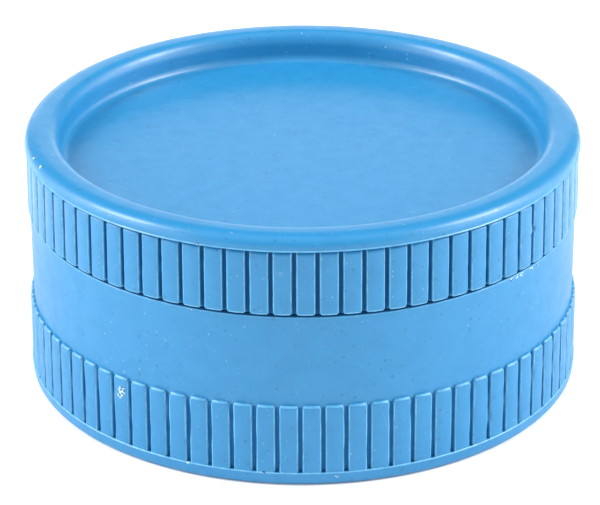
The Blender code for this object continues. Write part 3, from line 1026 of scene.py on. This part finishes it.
# %% [markdown]
# ## Steel, nickel and nylon
# The pins are ground round, which leaves fine rings up their length and patches of duller
# steel. The magnets are nickel plated. The glide ring is natural nylon, a warm white that
# light enters, so it needs a little subsurface scattering where the metals need none.

# %% Colours of the metals and the nylon
STEEL_BRIGHT = (0.52, 0.51, 0.50, 1.0)
STEEL_DULL = (0.43, 0.42, 0.41, 1.0)
NICKEL_BRIGHT = (0.72, 0.69, 0.62, 1.0)
NICKEL_DULL = (0.60, 0.57, 0.51, 1.0)
NYLON_PALE = (0.80, 0.78, 0.70, 1.0)
NYLON_DEEP = (0.72, 0.69, 0.60, 1.0)
NYLON_RUBBED = (0.55, 0.55, 0.52, 1.0)
print("metal and nylon colours: 7")


# %% Ground steel
def make_ground_steel():
    """Bright steel with fine rings and patches that are a little duller."""
    material, nodes, shader, place = new_material("ground_pin_steel", 0.28, metallic=1.0)
    rings = nodes.group(turning_group, Place=place, Stretch=(0.6, 0.6, 14.0))
    stain = nodes.noise(place, scale=0.9, detail=3.0)
    colour = nodes.blend(nodes.ramp(stain, 0.35, 0.75), STEEL_BRIGHT, STEEL_DULL)
    nodes.put(shader.inputs["Base Color"], colour)
    rough = nodes.ramp(stain, 0.3, 0.8, 0.24, 0.30)
    nodes.put(shader.inputs["Roughness"], nodes.math("MULTIPLY_ADD", rings["Mask"], 0.06, rough))
    nodes.put(shader.inputs["Normal"], bump(nodes, rings["Height"], strength=0.3, distance=0.004))
    return material


pin_steel = make_ground_steel()
print("finish:", pin_steel.name)


# %% Nickel plate
def make_nickel():
    """A warm, smooth plate with a faint cloud in its shine."""
    material, nodes, shader, place = new_material("plated_nickel", 0.16, metallic=1.0)
    cloud = nodes.noise(place, scale=1.6, detail=3.0)
    colour = nodes.blend(nodes.ramp(cloud, 0.35, 0.75), NICKEL_BRIGHT, NICKEL_DULL)
    nodes.put(shader.inputs["Base Color"], colour)
    nodes.put(shader.inputs["Roughness"], nodes.ramp(cloud, 0.3, 0.8, 0.12, 0.24))
    orange_peel = nodes.noise(place, scale=9.0)
    nodes.put(shader.inputs["Normal"], bump(nodes, orange_peel, strength=0.15, distance=0.02))
    return material


magnet_nickel = make_nickel()
print("finish:", magnet_nickel.name)


# %% Natural nylon
def make_nylon():
    """A milky plastic, rubbed grey in fine lines where the lid slides on it."""
    material, nodes, shader, place = new_material("natural_ring_nylon", 0.42, ior=1.53)
    shader.inputs["Subsurface Weight"].default_value = 0.25
    shader.inputs["Subsurface Scale"].default_value = 0.6 * MM
    grain = nodes.group(grain_group, Place=place, Fine=10.0, Broad=1.0)
    marks = nodes.group(turning_group, Place=place, Stretch=(0.3, 0.3, 7.0))
    colour = nodes.blend(nodes.ramp(grain["Cloud"], 0.35, 0.70), NYLON_PALE, NYLON_DEEP)
    colour = nodes.blend(nodes.math("MULTIPLY", marks["Mask"], 0.3), colour, NYLON_RUBBED)
    nodes.put(shader.inputs["Base Color"], colour)
    nodes.put(shader.inputs["Roughness"], nodes.ramp(grain["Cloud"], 0.3, 0.8, 0.36, 0.50))
    normal = bump(nodes, grain["Height"], strength=0.3, distance=0.02)
    normal = bump(nodes, marks["Height"], strength=0.3, distance=0.02, normal=normal)
    nodes.put(shader.inputs["Normal"], normal)
    return material


ring_nylon = make_nylon()
print("finish:", ring_nylon.name)

# %% Finish the two mouldings
lid_piece = finished("lid_moulding", lid_mesh, lid_plastic, "lid", "flecked_plastic", "lid_shell")
base_piece = finished("base_moulding", base_mesh, base_plastic, "base", "flecked_plastic", "base_shell")
print("mouldings:", lid_piece.name, base_piece.name)

# %% [markdown]
# ## Pins, magnets, caps and the glide ring
# These are small turned pieces. Each takes its place and size from its node in the frame, and
# gets the edge that its making leaves: a rounded nose on a pin, a broken edge on a magnet. A
# cylinder with a Bevel modifier would look much the same, but the outline and ring functions
# are already here, and they let the two ends of a pin have different edges.

# %% Pins
PIN_NOSE = 0.35
PIN_FOOT = 0.15


def make_pin(node, body, tip_up):
    """A ground pin with a rounded nose at its tip and a small chamfer at its foot."""
    x, y, radius, low, high = pin_place(node)
    low_edge, high_edge = (PIN_FOOT, PIN_NOSE) if tip_up else (PIN_NOSE, PIN_FOOT)
    corners = [(0.0, low, 0.0), (radius, low, low_edge), (radius, high, high_edge), (0.0, high, 0.0)]
    outline = rounded(corners, steps=5)[1:-1]
    rings = rings_of(outline, even_angles(PIN_SIDES))
    mesh = joined(node + "_ground", [one + np.array((x, y, 0.0)) for one in rings])
    return finished(node + "_ground", mesh, pin_steel, body, "ground_steel", node)


pins = [make_pin(node, "base", True) for node in pin_nodes("base")]
pins += [make_pin(node, "lid", False) for node in pin_nodes("lid")]
print("pins:", len(pins))


# %% Magnets and caps
DISC_SIDES = 96
MAGNET_EDGE = 0.25
CAP_EDGE = 0.12


def make_disc(node, body, material, slot, edge):
    """A disc on the axis with rounded edges."""
    low, high = (to_mm(corner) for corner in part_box(node))
    corners = [(0.0, low.z, 0.0), (high.x, low.z, edge), (high.x, high.z, edge), (0.0, high.z, 0.0)]
    mesh = joined(node + "_disc", rings_of(rounded(corners)[1:-1], even_angles(DISC_SIDES)))
    return finished(node + "_disc", mesh, material, body, slot, node)


for body, plastic in (("base", base_plastic), ("lid", lid_plastic)):
    make_disc(body + "_magnet", body, magnet_nickel, "magnet_nickel", MAGNET_EDGE)
    make_disc(body + "_magnet_cap", body, plastic, "flecked_plastic", CAP_EDGE)
print("magnets and caps: 4")


# %% Glide ring
GLIDE_SIDES = 192
GLIDE_WIDTH = 1.5
GLIDE_EDGE = 0.2
GREASE_HALF = 0.3
GREASE_DEEP = 0.15


def make_glide_ring():
    """A thin ring with broken edges and a shallow groove in its top for grease."""
    low, high = (to_mm(corner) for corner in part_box("glide_ring"))
    outer = high.x
    inner = outer - GLIDE_WIDTH
    middle = 0.5 * (inner + outer)
    corners = [(inner, high.z, GLIDE_EDGE), (middle - GREASE_HALF, high.z, 0.0)]
    corners += [(middle, high.z - GREASE_DEEP, 0.0), (middle + GREASE_HALF, high.z, 0.0)]
    corners += [(outer, high.z, GLIDE_EDGE), (outer, low.z, GLIDE_EDGE), (inner, low.z, GLIDE_EDGE)]
    mesh = joined("glide_ring_nylon", rings_of(rounded(corners), even_angles(GLIDE_SIDES)), closed=True)
    return finished("glide_ring_nylon", mesh, ring_nylon, "ring", "glide_nylon", "glide_ring")


glide_ring = make_glide_ring()
print("ring:", glide_ring.name)

# %% [markdown]
# ## The studio
# The crusher stands on a plain white table in a white room. The room is brightest at its two
# sides, and two soft boxes there draw the streaks along the rim. The front stays softer. Lamps
# alone could light it, but the sides of the plastic mirror the whole room, so the room itself
# has to be bright where a studio's white walls would be.

# %% Table
TABLE_SIZE = 6.0
TABLE_WHITE = (0.95, 0.95, 0.95, 1.0)
TABLE_GREY = (0.92, 0.92, 0.92, 1.0)


def make_table():
    """A wide plain table, only for the picture."""
    bpy.ops.mesh.primitive_plane_add(size=TABLE_SIZE)
    table = bpy.context.object
    table.name = "studio_table"
    material, nodes, shader, place = new_material("table_white", 0.7)
    paper = nodes.noise(place, scale=0.05, detail=3.0)
    nodes.put(shader.inputs["Base Color"], nodes.blend(paper, TABLE_WHITE, TABLE_GREY))
    table.data.materials.append(material)
    return table


table = make_table()
print("table:", table.name)


# %% Soft boxes
SOFT_BOX_POWER = 1.6
SOFT_BOX_DISTANCE = 0.5
SOFT_BOX_WIDE, SOFT_BOX_TALL = 0.13, 0.20
BOX_SIDEWAYS, BOX_BACK, BOX_UP = 0.74, -0.03, 0.66
BOX_AIM_HEIGHT = 0.02


def soft_box(name, direction):
    """A rectangular light that faces the crusher from this direction."""
    light = bpy.data.lights.new(name, "AREA")
    light.shape = "RECTANGLE"
    light.size = SOFT_BOX_WIDE
    light.size_y = SOFT_BOX_TALL
    light.energy = SOFT_BOX_POWER
    lamp = bpy.data.objects.new(name, light)
    bpy.context.scene.collection.objects.link(lamp)
    away = Vector(direction).normalized()
    lamp.location = away * SOFT_BOX_DISTANCE + Vector((0.0, 0.0, BOX_AIM_HEIGHT))
    lamp.rotation_mode = "QUATERNION"
    lamp.rotation_quaternion = away.to_track_quat("Z", "Y")
    return lamp


soft_box("left_soft_box", (-BOX_SIDEWAYS, BOX_BACK, BOX_UP))
soft_box("right_soft_box", (BOX_SIDEWAYS, BOX_BACK, BOX_UP))
print("lights:", len(bpy.data.lights))

# %% Room
ROOM_FRONT = 0.70
ROOM_SIDES = 4.0
ROOM_BACK = 1.7
# Each pair is where a part of the room starts or ends and where it is full or gone, as the
# share of a direction that points sideways, back or up.
SIDES_SPREAD = (0.5, 1.0)
SIDES_END = (0.15, 0.6)
BACK_SPREAD = (0.86, 0.98)
CORNERS_SPREAD = (0.1, 0.5)
DIM_SHARE = 0.35
OVERHEAD_SPREAD = (0.80, 0.95)
OVERHEAD_SHARES = (0.7, 1.7)


def make_room():
    """A white room, bright at its two sides, dimmer at the back corners and lit from above."""
    world = bpy.data.worlds.new("white_room")
    world.use_nodes = True
    nodes = Nodes(world.node_tree)
    background = world.node_tree.nodes["Background"]
    directions = nodes.add("ShaderNodeSeparateXYZ")
    nodes.put(directions.inputs[0], nodes.add("ShaderNodeTexCoord").outputs["Generated"])
    backward = directions.outputs["Y"]
    sideways = nodes.math("ABSOLUTE", directions.outputs["X"])
    sides = nodes.ramp(sideways, *SIDES_SPREAD, 0.0, ROOM_SIDES)
    sides = nodes.math("MULTIPLY", sides, nodes.ramp(backward, *SIDES_END, 1.0, DIM_SHARE))
    back = nodes.ramp(backward, *BACK_SPREAD, 0.0, ROOM_BACK)
    corners = nodes.ramp(backward, *CORNERS_SPREAD, 1.0, DIM_SHARE)
    overhead = nodes.ramp(directions.outputs["Z"], *OVERHEAD_SPREAD, *OVERHEAD_SHARES)
    front = nodes.math("MULTIPLY", nodes.math("MULTIPLY", corners, overhead), ROOM_FRONT)
    glow = nodes.math("ADD", nodes.math("ADD", sides, back), front)
    seen = nodes.add("ShaderNodeLightPath").outputs["Is Camera Ray"]
    background.inputs["Color"].default_value = (1.0, 1.0, 1.0, 1.0)
    nodes.put(background.inputs["Strength"], nodes.math("MAXIMUM", glow, seen))
    bpy.context.scene.world = world
    return world


room = make_room()
bpy.context.scene.view_settings.view_transform = "Standard"
print("world:", room.name)

# %% [markdown]
# ## The camera
# A long lens looks down at the front from about 25 degrees, close enough to fill the picture.
# It is placed by its own three axes, so that a small roll can be added without Euler angles.

# %% Camera
CAMERA_LENS = 188.5
CAMERA_DISTANCE = 345.0
CAMERA_ELEVATION = math.radians(25.26)
CAMERA_ROLL = math.radians(-0.23)
AIM_HEIGHT = 11.93
AIM_LEFT = 0.322
AIM_UP = 0.435


def make_camera():
    """The camera, aimed a little beside the axis so that no lens shift is needed."""
    camera = bpy.data.objects.new("camera", bpy.data.cameras.new("camera"))
    camera.data.lens = CAMERA_LENS
    camera.data.sensor_width = 36.0
    camera.data.clip_start = 0.01
    camera.data.clip_end = 20.0
    bpy.context.scene.collection.objects.link(camera)
    back = Vector((0.0, -math.cos(CAMERA_ELEVATION), math.sin(CAMERA_ELEVATION)))
    level = Vector((1.0, 0.0, 0.0))
    upright = back.cross(level)
    right = math.cos(CAMERA_ROLL) * level + math.sin(CAMERA_ROLL) * upright
    up = math.cos(CAMERA_ROLL) * upright - math.sin(CAMERA_ROLL) * level
    spot = Vector((0.0, 0.0, AIM_HEIGHT)) + back * CAMERA_DISTANCE - right * AIM_LEFT + up * AIM_UP
    facing = Matrix((right, up, back)).transposed().to_4x4()
    camera.matrix_world = Matrix.Translation(spot * MM) @ facing
    bpy.context.scene.camera = camera
    return camera


camera = make_camera()
print("camera at", [round(value, 4) for value in camera.location])

# %% [markdown]
# ## Bring the scene up to date
# The view layer is updated once all the pieces are in place.

# %% Update
bpy.context.view_layer.update()
